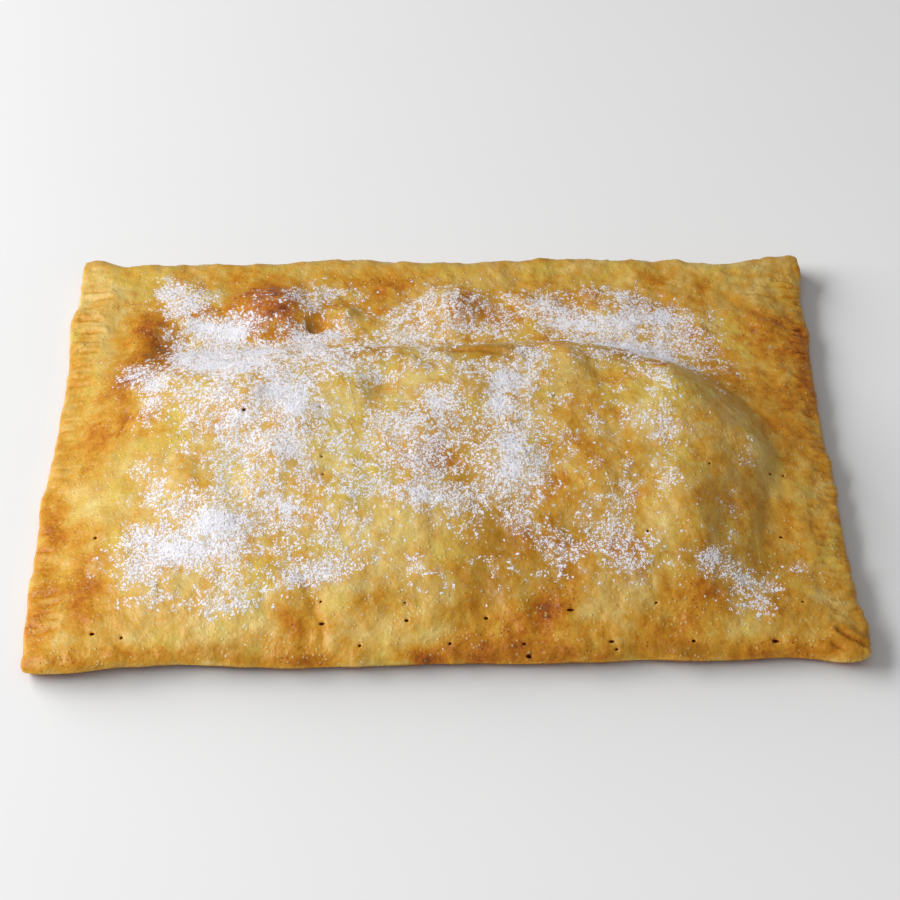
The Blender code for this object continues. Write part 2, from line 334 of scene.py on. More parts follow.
# Where the crust browned; a few thin strips paint shade instead, along the crest's front groove and on the
# right slope
bakeAndShadePatches = [
    # the two brown blisters at the back left, and the orange crust round them
    (-87, 86, 13, 11, 0.62), (-74, 78, 13, 10, 0.6), (-73, 93, 12, 8, 0.42), (-103, 81, 10, 9, 0.34),
    (-136, 69, 8, 14, 0.66), (-133, 51, 9, 12, 0.6), (-145, 31, 6, 10, 0.34), (-117, 79, 12, 7, 0.22),
    # the back strip
    (-99, 104, 26, 7, 0.24), (-31, 98, 12, 8, 0.46), (-21, 85, 14, 12, 0.26), (-47, 102, 12, 6, 0.2),
    (12, 85, 10, 12, 0.5), (3, 73, 14, 8, 0.34), (23, 77, 9, 8, 0.3), (57, 91, 18, 7, 0.42),
    (53, 77, 16, 8, 0.3), (103, 87, 12, 10, 0.34), (91, 79, 14, 8, 0.3), (122, 85, 8, 9, 0.28),
    (117, 63, 9, 8, 0.44), (129, 45, 12, 16, 0.3), (144, 73, 8, 10, 0.22), (45, 107, 6, 8, 0.26),
    # the left end
    (-170, 21, 6, 42, 0.14), (-169, -41, 7, 18, 0.34), (-149, 3, 8, 14, 0.46), (-157, 23, 9, 12, 0.22),
    (-140, 13, 5, 12, 0.3), (-148, -85, 8, 13, 0.58), (-152, -61, 8, 10, 0.3), (-166, -95, 8, 24, 0.36),
    (-145, 60, 5, 10, 0.24), (-153, -75, 14, 20, 0.2), (-165, 3, 8, 14, 0.26),
    # the middle
    (-106, -27, 12, 9, 0.3), (-104, -41, 8, 8, 0.36), (-67, -29, 10, 9, 0.28), (-3, -26, 12, 10, 0.44),
    # (-45, 33) and (15, 35) are painted shade along the crest's front groove
    (-91, 5, 8, 6, 0.2), (-45, 33, 14, 4, 0.36), (15, 35, 14, 4, 0.36), (59, -15, 10, 14, 0.36),
    (49, -43, 12, 10, 0.4), (33, -67, 12, 10, 0.52), (51, -73, 12, 10, 0.4), (74, -72, 9, 9, 0.44),
    (69, -33, 9, 12, 0.34), (87, -32, 8, 10, 0.3), (98, 26, 3, 2.5, 0.9), (71, -2, 8, 8, 0.24),
    (-29, -59, 12, 10, 0.12), (113, -29, 9, 14, 0.14), (75, 15, 10, 8, 0.2),
    # the front strip
    (42, -97, 10, 8, 0.88), (55, -90, 9, 9, 0.42), (29, -106, 18, 7, 0.42), (-61, -104, 13, 10, 0.52),
    (-29, -94, 14, 8, 0.22), (14, -112, 20, 4, 0.36), (41, -112, 14, 4, 0.44), (111, -90, 11, 10, 0.46),
    (96, -92, 8, 10, 0.28), (83, -112, 20, 3, 0.3), (141, -112, 22, 4, 0.36), (-119, -113, 40, 3, 0.24),
    (9, -83, 10, 9, 0.2), (4, -112, 6, 4, 0.3), (164, -109, 7, 6, 0.54),
    # the right end; (127, -41) and (129, -67) partly paint the shade of the slope that faces away from the
    # lamp
    (127, -41, 12, 22, 0.2), (129, -67, 10, 12, 0.26), (146, -42, 6, 7, 0.24), (153, 11, 12, 22, 0.36),
    (165, 53, 9, 24, 0.44), (151, 53, 12, 14, 0.28), (166, -3, 6, 36, 0.3), (150, -14, 8, 12, 0.16),
    (152, -71, 7, 10, 0.2), (137, 27, 10, 12, 0.3), (170, -59, 4, 36, 0.26), (161, 105, 9, 6, 0.2),
    # the front edge
    (20, -115, 30, 4, 0.6), (60, -117, 20, 4, 0.5), (95, -114, 14, 5, 0.55), (140, -116, 30, 4, 0.4),
    (-60, -117, 20, 4, 0.4), (-150, -117, 25, 4, 0.4), (-6, -114, 6, 4, 0.3),
    # smaller ones all over: deeper tones that join them, the rim and the ends
    (-8, -116, 9, 3, 0.6), (14, -108, 8, 5, 0.3), (-78, 82, 9, 9, 0.5), (-136, 42, 7, 7, 0.36),
    (50, -84, 7, 8, 0.24), (52, 50, 8, 13, 0.56), (30, 72, 8, 8, 0.24), (30, 90, 8, 6, 0.24),
    (-115, 98, 9, 5, 0.2), (-50, 84, 6, 4, 0.3),
    (-152, 25, 8, 8, 0.3), (-152, -12, 6, 14, 0.3), (-84, 88, 11, 10, 0.34), (-38, 84, 8, 8, 0.28),
    (97, 26, 5, 5, 0.3), (140, 20, 30, 30, 0.14), (150, -40, 20, 40, 0.1), (-166, -70, 8, 20, 0.2),
    (172, -108, 5, 5, 0.5), (12, -60, 6, 20, 0.15), (-127, 58, 6, 12, 0.3),
    (-138, 33, 9, 9, 0.4), (-127, 50, 7, 12, 0.46), (-84, 72, 10, 6, 0.4),
    (-127, 66, 9, 12, 0.3), (-124, 40, 7, 12, 0.3), (-138, 34, 8, 8, 0.3), (-76, 66, 12, 8, 0.4),
    (-58, 70, 9, 8, 0.45), (-46, 84, 8, 9, 0.3), (-17, 99, 9, 7, 0.3), (105, 100, 9, 5, 0.35),
    (125, 95, 8, 8, 0.3), (150, 72, 12, 12, 0.35), (168, 66, 6, 22, 0.35), (168, 30, 5, 16, 0.3),
    (173, 104, 5, 10, 0.2), (-168, 48, 6, 14, 0.15), (-152, -18, 6, 10, 0.3), (-164, -50, 6, 12, 0.35),
    (-152, -52, 8, 5, 0.25), (-134, -94, 10, 8, 0.35), (-170, -98, 5, 10, 0.2), (12, -96, 7, 10, 0.38),
    (24, -84, 8, 7, 0.25), (46, -58, 6, 7, 0.35), (86, -50, 8, 8, 0.3), (110, -52, 8, 10, 0.18),
    (106, -72, 5, 8, 0.2), (88, -107, 10, 7, 0.4), (100, -100, 8, 10, 0.25), (66, -104, 8, 5, 0.2),
    (140, -98, 9, 14, 0.4), (155, -100, 10, 7, 0.3), (-56, -116, 10, 4, 0.4), (150, -50, 6, 8, 0.15),
    # (-30, 38) and (22, 30) are painted shade in the same groove
    (-135, 4, 8, 8, 0.25), (-30, 38, 6, 4, 0.3), (22, 30, 6, 4, 0.2),
]
# Where the dough stayed pale over the wet filling; some paint light on slopes that the lamp leaves in
# shade, as at (141, -8), (138, -13) and along the left edge
palePatches = [
    (-147, -33, 11, 20, 0.6), (-154, 93, 12, 12, 0.3), (-127, -94, 14, 12, 0.36), (-95, -21, 9, 9, 0.3),
    (-87, -51, 16, 12, 0.34), (-109, 15, 14, 12, 0.36), (-125, -13, 12, 16, 0.24), (-49, -23, 18, 16, 0.44),
    (-49, 7, 12, 10, 0.3), (-33, -61, 20, 12, 0.28), (-11, 17, 8, 7, 0.34), (7, 19, 7, 6, 0.34),
    (25, -29, 8, 8, 0.2), (-27, -103, 16, 9, 0.34), (-99, -105, 20, 7, 0.24), (11, -59, 12, 10, 0.22),
    (51, 23, 8, 12, 0.34), (93, 7, 11, 17, 0.56), (91, -53, 8, 12, 0.54), (75, 9, 8, 8, 0.2),
    (71, -93, 13, 10, 0.26), (13, -97, 10, 10, 0.3), (135, -103, 22, 6, 0.26), (49, -57, 8, 7, 0.2),
    (161, -95, 6, 16, 0.3), (132, 67, 9, 8, 0.24), (41, -5, 9, 9, 0.2), (-46, 80, 5, 6, 0.34),
    (151, 97, 12, 8, 0.24), (-19, 107, 30, 4, 0.14),
    # smaller ones all over, most of them in the wide pale middle
    (-160, 25, 8, 18, 0.2), (-163, -22, 6, 8, 0.14), (-118, 106, 10, 6, 0.24), (-142, 6, 5, 6, 0.3),
    (141, -8, 7, 10, 0.6), (-155, 70, 6, 10, 0.4), (-105, 89, 10, 6, 0.34), (-46, 88, 8, 7, 0.54),
    (104, -43, 7, 8, 0.4), (-38, -90, 7, 7, 0.4), (130, 69, 9, 8, 0.5), (140, 42, 8, 12, 0.3),
    (162, 105, 12, 6, 0.3), (100, 0, 6, 9, 0.34), (-60, -91, 6, 6, 0.24), (-125, -84, 8, 7, 0.2),
    (12, 96, 12, 6, 0.2), (68, 25, 7, 8, 0.4), (-50, -106, 8, 6, 0.3), (148, -36, 7, 7, 0.4),
    (-170, 20, 5, 50, 0.16), (-168, 98, 6, 12, 0.2), (145, -28, 6, 8, 0.6), (140, 18, 8, 9, 0.5),
    (158, 8, 8, 8, 0.34), (166, -34, 6, 12, 0.5), (-40, -50, 8, 7, 0.4), (32, -91, 5, 5, 0.4),
    (-10, -108, 12, 5, 0.4), (6, -80, 7, 6, 0.34), (150, 80, 14, 10, 0.24), (-150, 98, 14, 10, 0.34),
    (-78, -102, 14, 9, 0.6), (-42, 6, 8, 14, 0.5), (-28, -70, 20, 14, 0.34), (138, -13, 9, 10, 0.5),
    (-36, -22, 10, 12, 0.4), (0, -110, 8, 5, 0.26), (-104, -22, 16, 12, 0.24), (134, 107, 18, 5, 0.3),
    (-94, -36, 18, 16, 0.6), (-112, -28, 12, 12, 0.5), (-70, -32, 12, 8, 0.4), (-34, -36, 12, 16, 0.55),
    (-44, -4, 14, 18, 0.4), (-18, 8, 8, 8, 0.45), (-30, 26, 16, 12, 0.3), (-88, 4, 8, 8, 0.45),
    (-106, -60, 14, 10, 0.35), (-20, -62, 22, 12, 0.4), (-78, -92, 8, 10, 0.45), (-44, -94, 10, 10, 0.45),
    (-100, -84, 16, 8, 0.3), (5, 30, 14, 14, 0.3), (64, -10, 14, 7, 0.5), (66, -34, 10, 8, 0.45),
    (90, -34, 8, 8, 0.3), (110, -32, 7, 6, 0.4), (119, 12, 4, 3, 0.5), (46, -78, 6, 6, 0.4),
    (70, -76, 6, 8, 0.4), (58, -94, 6, 6, 0.34), (36, -95, 5, 5, 0.3), (0, 74, 8, 6, 0.5),
    (10, 88, 12, 8, 0.3), (-36, 96, 8, 5, 0.3), (54, 92, 12, 5, 0.3), (44, 108, 6, 6, 0.4),
    (98, 84, 9, 7, 0.5), (-108, 90, 8, 6, 0.16), (122, -70, 6, 8, 0.2), (32, 48, 6, 12, 0.3),
    (-130, -56, 10, 14, 0.3), (-158, -70, 6, 6, 0.2),
]
# Where juice soaked into the dough and left it darker; many also paint shade: along the crest's groove and
# flank, in the burst blister's pit and on the right slope
dampAndShadePatches = [
    (-50, 10, 6, 14, 0.3), (-68, -80, 8, 6, 0.26), (-62, -60, 7, 7, 0.2), (-15, -92, 7, 6, 0.2),
    (90, -80, 80, 42, 0.2), (132, 13, 8, 13, 0.26), (122, -74, 8, 8, 0.2),
    (-12, 31, 10, 8, 0.26), (22, 31, 12, 6, 0.3), (82, 31, 13, 7, 0.5), (20, -24, 10, 8, 0.26),
    (60, -62, 7, 9, 0.3), (50, -82, 9, 9, 0.26), (-66, -66, 8, 7, 0.2), (-130, -68, 8, 10, 0.3),
    (140, -74, 8, 8, 0.26), (95, -115, 16, 4, 0.34), (145, 82, 6, 6, 0.34), (97, -20, 6, 10, 0.2),
    (-90, -113, 24, 4, 0.26), (-142, 44, 5, 10, 0.3), (20, -68, 16, 14, 0.16), (-6, -22, 8, 12, 0.24),
    (14, -14, 12, 14, 0.34), (40, 30, 12, 8, 0.2), (76, 44, 8, 16, 0.3), (-15, -90, 8, 7, 0.34),
    (20, -92, 6, 6, 0.34), (-49, -85, 6, 9, 0.4), (103, -76, 8, 7, 0.34), (-72, -60, 8, 8, 0.26),
    (-105, -43, 8, 7, 0.3), (-90, -110, 16, 5, 0.2), (-38, 33, 8, 9, 0.3), (-158, -88, 8, 12, 0.25),
    (22, -60, 13, 24, 0.62), (8, -35, 10, 14, 0.5), (16, -84, 11, 14, 0.5), (5, -104, 10, 10, 0.34),
    (24, 35, 14, 9, 0.54), (5, 40, 12, 9, 0.3), (52, -58, 10, 12, 0.3), (110, -76, 12, 8, 0.3),
    (90, -105, 14, 12, 0.2), (140, -70, 8, 26, 0.3), (150, -100, 14, 14, 0.24), (166, -90, 8, 20, 0.16),
    (-58, 72, 10, 9, 0.44), (-78, 66, 12, 8, 0.34), (-131, 44, 8, 18, 0.5), (-124, 62, 6, 12, 0.4),
    (-36, 37, 14, 5, 0.34), (54, 54, 10, 12, 0.34), (84, 42, 12, 13, 0.4), (42, -82, 14, 16, 0.3),
    (62, -50, 4, 12, 0.26), (172, -108, 5, 6, 0.6), (-150, 20, 5, 8, 0.26), (-20, 34, 8, 5, 0.24),
    (160, 82, 12, 10, 0.2), (172, 40, 4, 40, 0.12), (128, 100, 20, 8, 0.26),
    (-150, -15, 6, 9, 0.26), (50, 20, 10, 14, 0.16),
    (60, -115, 110, 5, 0.34), (-100, -117, 60, 4, 0.3),
]
# Where the sifted sugar lies, and how deep
sugarDrifts = [
    # behind the crest, from left to right
    (-128, 95, 10, 9, 0.8), (-118, 85, 9, 8, 0.72), (-113, 71, 13, 9, 0.78), (-97, 67, 14, 9, 0.86),
    (-126, 61, 6, 8, 0.2), (-83, 83, 22, 14, 0.12), (-68, 91, 10, 8, 0.26), (-56, 91, 10, 9, 0.46),
    (-41, 93, 9, 8, 0.26), (-65, 64, 8, 6, 0.66), (-49, 65, 10, 6, 0.7), (-31, 67, 9, 5, 0.26),
    (-15, 71, 12, 9, 0.5), (-5, 89, 10, 8, 0.4), (5, 75, 13, 10, 0.44), (21, 77, 12, 10, 0.2),
    (27, 91, 12, 8, 0.24), (47, 85, 9, 9, 0.62), (59, 79, 13, 8, 0.52), (67, 93, 9, 8, 0.28),
    (85, 87, 9, 9, 0.54), (87, 71, 14, 9, 0.74), (104, 74, 9, 10, 0.76), (71, 69, 10, 7, 0.6),
    (95, 93, 8, 6, 0.22), (117, 67, 9, 8, 0.4), (124, 57, 7, 6, 0.36), (130, 77, 8, 7, 0.2),
    (149, 54, 5, 3, 0.24), (145, 67, 5, 8, 0.12),
    # the crest's back wall, where it drifted deepest
    (-119, 46, 8, 12, 0.6), (-105, 49, 16, 13, 0.84), (-81, 51, 15, 12, 0.84), (-57, 53, 12, 11, 0.78),
    (-34, 54, 12, 8, 0.5), (-7, 57, 14, 7, 0.36), (15, 58, 12, 6, 0.26), (35, 59, 10, 6, 0.24),
    (59, 55, 14, 9, 0.78), (83, 53, 16, 11, 0.88), (101, 47, 13, 11, 0.8), (116, 36, 7, 8, 0.36),
    (93, 35, 10, 5, 0.6), (128, 43, 9, 12, 0.3), (123, 21, 8, 8, 0.24),
    # the left half of the top
    (-138, 37, 9, 8, 0.72), (-130, 25, 8, 9, 0.62), (-131, 7, 6, 9, 0.34), (-121, 11, 9, 12, 0.22),
    (-103, 35, 15, 9, 0.84), (-87, 31, 10, 11, 0.84), (-111, 17, 9, 7, 0.3), (-97, 13, 12, 9, 0.56),
    (-73, 25, 12, 9, 0.56), (-49, 28, 15, 7, 0.5), (-35, 23, 9, 6, 0.34), (-25, 33, 12, 6, 0.4),
    (-73, 11, 9, 9, 0.84), (-63, 1, 8, 11, 0.86), (-59, 15, 9, 7, 0.44), (-85, -1, 12, 9, 0.62),
    (-97, -7, 10, 8, 0.4), (-81, -15, 13, 8, 0.58), (-65, -19, 9, 12, 0.54), (-53, -13, 9, 9, 0.26),
    (-118, -16, 10, 12, 0.18), (-127, -29, 9, 10, 0.28), (-121, -41, 10, 6, 0.42), (-107, -45, 9, 6, 0.38),
    (-93, -41, 9, 8, 0.44), (-74, -44, 9, 8, 0.5), (-65, -52, 10, 7, 0.72), (-53, -45, 9, 10, 0.3),
    (-126, -61, 12, 8, 0.7), (-113, -69, 12, 8, 0.66), (-97, -59, 11, 9, 0.8), (-83, -59, 10, 8, 0.64),
    (-102, -73, 12, 8, 0.56), (-87, -83, 11, 9, 0.58), (-119, -87, 10, 8, 0.38), (-133, -75, 9, 8, 0.26),
    (-145, -73, 6, 4, 0.18), (-67, -72, 8, 7, 0.3), (-59, -83, 12, 6, 0.62), (-46, -81, 8, 6, 0.58),
    (-67, -90, 8, 6, 0.44), (-103, -93, 10, 6, 0.3), (-39, -57, 12, 10, 0.22), (-41, -35, 12, 8, 0.2),
    # the middle
    (-3, 5, 9, 8, 0.66), (-12, -8, 10, 9, 0.6), (-3, -19, 11, 8, 0.52), (-13, -29, 10, 8, 0.46),
    (-3, -36, 10, 6, 0.34), (-9, -47, 11, 8, 0.72), (5, -51, 9, 7, 0.46), (-25, -29, 9, 8, 0.3),
    (-25, -43, 8, 8, 0.34), (-27, -67, 11, 8, 0.26), (-11, -79, 9, 7, 0.34), (-1, -87, 8, 6, 0.28),
    (-31, -81, 9, 6, 0.2), (11, -7, 9, 14, 0.26), (15, -29, 9, 10, 0.28), (-3, 25, 14, 6, 0.3),
    (28, 17, 10, 8, 0.8), (25, 3, 8, 11, 0.82), (37, -7, 9, 10, 0.46), (30, -21, 10, 10, 0.78),
    (41, -29, 8, 8, 0.54), (29, -35, 9, 8, 0.72), (38, -44, 9, 8, 0.4), (21, -45, 9, 8, 0.46),
    (33, -57, 8, 7, 0.44), (47, 15, 8, 14, 0.28), (41, 31, 9, 7, 0.36), (13, -61, 10, 8, 0.2),
    # the right part
    (51, -73, 9, 8, 0.48), (41, -65, 9, 7, 0.34), (59, -55, 9, 9, 0.18), (73, -49, 9, 6, 0.4),
    (71, -63, 10, 9, 0.46), (83, -69, 11, 8, 0.4), (77, -41, 9, 5, 0.36), (29, -81, 9, 6, 0.2),
    (67, -7, 8, 8, 0.26), (85, -5, 10, 7, 0.4), (99, -13, 8, 8, 0.46), (91, -27, 8, 9, 0.28),
    (98, -43, 6, 8, 0.32), (73, 11, 10, 8, 0.2), (85, 27, 10, 7, 0.34), (71, 33, 12, 6, 0.44),
    (123, -47, 5, 9, 0.28), (117, -63, 8, 8, 0.28), (111, -75, 9, 6, 0.66), (125, -83, 9, 6, 0.52),
    (122, -93, 8, 7, 0.6), (131, -95, 7, 6, 0.46), (137, -85, 6, 7, 0.36), (105, -83, 7, 6, 0.36),
    (149, -75, 4, 5, 0.26), (153, -83, 4, 5, 0.24), (132, -21, 5, 6, 0.26), (113, -9, 8, 12, 0.12),
    # a thin dusting over all of the filling
    (-83, -19, 52, 70, 0.24), (-9, -19, 52, 60, 0.22), (56, -27, 54, 54, 0.19), (1, 79, 120, 18, 0.19),
    # small drifts between the large ones
    (-92, -96, 12, 6, 0.34), (0, 30, 8, 6, 0.4), (100, 12, 6, 10, 0.34), (-60, 14, 8, 8, 0.4),
    (-38, 26, 8, 6, 0.34), (-17, 80, 7, 6, 0.36), (-58, 82, 6, 5, 0.34), (70, -70, 12, 7, 0.3),
    (-112, -66, 16, 8, 0.36), (-96, -56, 10, 8, 0.4), (-20, -48, 10, 8, 0.26), (-30, -14, 8, 8, 0.24),
    (-122, -34, 6, 8, 0.34), (-62, -60, 8, 6, 0.34), (-44, -74, 14, 6, 0.36), (18, -78, 8, 6, 0.28),
    (128, -80, 12, 8, 0.34), (30, 68, 12, 7, 0.36), (0, 96, 6, 4, 0.3), (76, 95, 10, 4, 0.28),
    (14, 22, 9, 6, 0.36), (-94, 76, 8, 5, 0.3), (-24, 20, 8, 6, 0.24), (148, -74, 6, 6, 0.16),
    (-75, -35, 8, 7, 0.34), (-84, -69, 8, 6, 0.34), (-88, -96, 9, 5, 0.34), (-130, -90, 9, 6, 0.34),
    (2, -6, 6, 7, 0.3), (-33, 17, 8, 6, 0.34), (133, -14, 3, 2, 0.5), (-66, 84, 6, 5, 0.2),
    (-11, 78, 8, 6, 0.34), (37, 82, 8, 7, 0.34), (85, 90, 9, 5, 0.3), (63, 67, 9, 5, 0.4),
    (68, 50, 6, 10, 0.5), (-24, 52, 12, 8, 0.3), (130, -24, 5, 4, 0.3), (110, 68, 12, 6, 0.2),
    # what joins them into streaks
    (-124, 26, 8, 8, 0.5), (-122, 60, 5, 6, 0.4), (-128, 14, 6, 8, 0.4), (-108, 3, 10, 9, 0.5),
    (-98, 23, 8, 6, 0.4), (-60, 37, 22, 6, 0.7), (-38, 39, 10, 5, 0.36), (-87, -27, 12, 8, 0.52),
    (-64, -24, 8, 6, 0.4), (-50, 0, 7, 6, 0.48), (-46, 20, 10, 5, 0.38), (-44, -20, 9, 7, 0.42),
    (-26, -6, 9, 8, 0.42), (-58, -36, 6, 8, 0.34), (-38, -44, 8, 8, 0.42), (-48, -62, 8, 10, 0.38),
    (-114, -50, 8, 7, 0.5), (-126, -78, 12, 7, 0.56), (-88, -70, 12, 5, 0.44), (-82, -94, 9, 8, 0.46),
    (-120, -94, 8, 6, 0.36), (-56, -78, 6, 5, 0.34), (-6, 36, 8, 8, 0.44), (5, 44, 6, 6, 0.2),
    (2, 4, 8, 8, 0.3), (22, 27, 14, 5, 0.4), (38, 20, 6, 16, 0.48), (36, 36, 7, 8, 0.24),
    (46, 34, 5, 10, 0.3), (94, 16, 8, 12, 0.46), (98, -4, 5, 8, 0.34), (94, -40, 6, 12, 0.24),
    (55, 70, 14, 6, 0.54), (10, 66, 16, 6, 0.44), (-14, 63, 10, 5, 0.44), (72, -80, 12, 8, 0.48),
    (88, -78, 12, 6, 0.3), (48, -82, 8, 5, 0.34), (4, 90, 6, 6, 0.4), (18, 90, 5, 6, 0.34),
    (-50, 92, 6, 6, 0.3), (108, 60, 12, 8, 0.5), (118, 50, 7, 8, 0.44), (-126, 80, 6, 6, 0.4),
    (-110, 92, 8, 8, 0.34), (8, -44, 10, 6, 0.34), (-20, -20, 8, 8, 0.24), (92, 80, 8, 6, 0.3),
]
patchFade = 1.1                    # how fast a patch fades towards its reach


def gathered(x, y, patches):
    # strength of a list of patches at points in millimetres; where they overlap it nears 1
    left = np.ones_like(x)
    for midX, midY, reachX, reachY, strength in patches:
        away = ((x - midX) / reachX) ** 2 + ((y - midY) / reachY) ** 2
        left *= 1 - strength * np.exp(-patchFade * away)
    return 1 - left


def smoothStep(values, low, high):
    # 0 up to low, 1 from high, an even S between
    t = np.clip((values - low) / (high - low), 0, 1)
    return t * t * (3 - 2 * t)


def noiseAt(points, size, seed):
    # smooth noise round 0, its waves about size millimetres across
    shift = Vector((seed, seed * 0.37, seed * 1.7))
    return np.array([noise.noise(Vector(point) / size + shift) for point in points])


def pointsOf(mesh):
    # places in metres and normals, one row for each point
    places = np.empty(len(mesh.vertices) * 3)
    mesh.vertices.foreach_get("co", places)
    normals = np.empty(len(mesh.vertices) * 3, np.float32)
    mesh.vertex_normals.foreach_get("vector", normals)
    return places.reshape(-1, 3), normals.reshape(-1, 3)


def roundedCopy(node, settings):
    # the plain solid with its triangles paired into quads and subdivided
    mesh = node.data.copy()
    bm = bmesh.new()
    bm.from_mesh(mesh)
    bmesh.ops.remove_doubles(bm, verts=bm.verts, dist=settings["merge"])
    faceAngle, shapeAngle = settings["pairAngles"]
    bmesh.ops.join_triangles(bm, faces=bm.faces, angle_face_threshold=math.radians(faceAngle),
                             angle_shape_threshold=math.radians(shapeAngle))
    crease = bm.edges.layers.float.new("crease_edge")
    bend, crispness = settings["crisp"]
    for edge in bm.edges:
        if edge.is_manifold and edge.calc_face_angle() > math.radians(bend):
            edge[crease] = crispness
    bm.to_mesh(mesh)
    bm.free()
    rough = addObject("rough", mesh)
    rounding = rough.modifiers.new("rounding", "SUBSURF")
    rounding.levels = rounding.render_levels = settings["levels"]
    depsgraph = bpy.context.evaluated_depsgraph_get()
    smooth = bpy.data.meshes.new_from_object(rough.evaluated_get(depsgraph))
    bpy.data.objects.remove(rough)
    return smooth


def segmentAway(x, y, start, end):
    # distance from points to a straight stretch
    along = np.array(end, float) - np.array(start, float)
    share = np.clip(((x - start[0]) * along[0] + (y - start[1]) * along[1]) / (along @ along), 0, 1)
    return np.hypot(x - start[0] - share * along[0], y - start[1] - share * along[1])


def forkMarks(settings):
    # grooves that the fork pressed into the two ends, none like the next
    draw = np.random.default_rng(settings["seed"])
    marks = []
    for end in (-1, 1):
        y = -settings["ends"]
        while y < settings["ends"]:
            y += settings["spacing"] * draw.uniform(*settings["uneven"])
            outer = draw.uniform(*settings["outer"])
            inner = outer - draw.uniform(*settings["reach"])
            drift = draw.uniform(-settings["drift"], settings["drift"])
            depth = draw.uniform(*settings["depth"]) * (settings["leftShare"] if end < 0 else 1.0)
            marks.append(([(end * outer, y), (end * inner, y + drift)], settings["width"], depth))
    return marks


def grooves(x, y, settings):
    # how deep the creases and fork marks go, and the lips that they push up
    sunk, raised = np.zeros_like(x), np.zeros_like(x)
    lipShare, lipPlace = settings["lip"]
    for line, width, depth in settings["creases"] + forkMarks(settings["forkMarks"]):
        away = np.min([segmentAway(x, y, *pair) for pair in zip(line, line[1:])], axis=0)
        sunk += depth * np.exp(-(away / width) ** 2)
        raised += lipShare * depth * np.exp(-((away - lipPlace * width) / width) ** 2)
    return sunk, raised


def inMiddle(x, y, settings):
    halfLength, front, back = settings["middle"]
    return abs(x) < halfLength and front < y < back


def reliefHeights(points, facing, settings):
    # how far each point of the crust moves out along its normal, in millimetres
    x, y = points[:, 0], points[:, 1]
    upper = smoothStep(facing, *settings["upper"])
    height = np.zeros(len(points))
    for index, (size, tall) in enumerate(settings["waves"]):
        height += tall * noiseAt(points, size, settings["waveSeed"] + index)
    draw = np.random.default_rng(settings["bumpSeed"])
    halfX, halfY = cadHigh.x / mm, cadHigh.y / mm
    fall, bubbles, lumps = settings["bumpFall"], settings["bubbles"], settings["lumps"]
    for _ in range(bubbles["count"]):
        midX, midY = draw.uniform(-halfX, halfX), draw.uniform(-halfY, halfY)
        reach, tall = draw.uniform(*bubbles["size"]), draw.uniform(*bubbles["height"])
        if draw.random() < bubbles["leftOut"] and inMiddle(midX, midY, settings):
            continue                # they sit closest round the edges
        near = np.abs(x - midX) < 2 * reach
        near[near] &= np.abs(y[near] - midY) < 2 * reach
        away = ((x[near] - midX) ** 2 + (y[near] - midY) ** 2) / reach ** 2
        height[near] += tall * np.exp(-fall * away)
    for _ in range(lumps["count"]):
        midX, midY = draw.uniform(-halfX, halfX), draw.uniform(-halfY, halfY)
        reach, tall = draw.uniform(*lumps["size"]), draw.uniform(*lumps["height"])
        if not inMiddle(midX, midY, settings):
            height += tall * np.exp(-fall * ((x - midX) ** 2 + (y - midY) ** 2) / reach ** 2)
    for midX, midY, reachX, reachY, tall in settings["blisters"]:
        away = ((x - midX) / reachX) ** 2 + ((y - midY) / reachY) ** 2
        height += tall * np.exp(-away ** 2) * upper
    sunk, raised = grooves(x, y, settings)
    height += (raised - sunk) * upper
    burst = settings["burst"]
    midX, midY = burst["place"]
    reachX, reachY = burst["reach"]
    away = np.hypot((x - midX) / reachX, (y - midY) / reachY)
    height -= burst["depth"] * (1 - smoothStep(away, *burst["wall"])) * upper
    tall, lipPlace, lipWidth = burst["lip"]
    height += tall * np.exp(-((away - lipPlace) / lipWidth) ** 2) * upper
    return height * (settings["sides"] + (1 - settings["sides"]) * upper)


def openPricks(bm, settings):
    # the dough dips towards each prick; its hole is one face, drawn in, pushed down and given painted shade
    bm.faces.ensure_lookup_table()
    tops = [face for face in bm.faces if face.normal.z > 0.5]
    centres = np.array([face.calc_center_median()[:2] for face in tops]) / mm
    holeShadeLayer = bm.verts.layers.float.new("paintedHoleShade")
    wider, dip = settings["prickDip"]
    for x, y, halfLong, halfWide in settings["pricks"]:
        face = tops[int(np.argmin(np.hypot(*(centres - (x, y)).T)))]
        bmesh.ops.bisect_edges(bm, edges=face.edges, cuts=1)
        middle = face.calc_center_median()
        start = math.atan2(*(face.verts[0].co - middle)[:2])
        for index, vert in enumerate(face.verts):
            turn = start - index * 2 * math.pi / len(face.verts)
            vert.co.x = middle.x + halfLong * wider * mm * math.sin(turn)
            vert.co.y = middle.y + halfWide * wider * mm * math.cos(turn)
            vert.co.z -= dip * mm
        for inward, down, paintedShade in settings["prickSteps"]:
            bmesh.ops.inset_individual(bm, faces=[face], thickness=halfWide * inward * mm)
            for vert in face.verts:
                vert.co.z -= down * mm
                vert[holeShadeLayer] = paintedShade


def makeCrust(node, settings):
    mesh = roundedCopy(node, settings)
    places, normals = pointsOf(mesh)
    height = reliefHeights(places / mm, normals[:, 2], settings)
    height[places[:, 2] < settings["flatBelow"] * mm] = 0
    places += normals * (height * mm)[:, None]
    places[:, 2] = np.maximum(places[:, 2], 0.0)
    mesh.vertices.foreach_set("co", places.ravel())
    bm = bmesh.new()
    bm.from_mesh(mesh)
    openPricks(bm, settings)
    bm.to_mesh(mesh)
    bm.free()
    mesh.name = "crust"
    mesh.shade_smooth()
    crust = addObject("crust", mesh)
    paintCrust(mesh, bakeSettings)
    mesh.materials.clear()
    mesh.materials.append(pastryMaterial(pastrySettings))
    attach(crust, "root")
    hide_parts("strudel")
    return crust


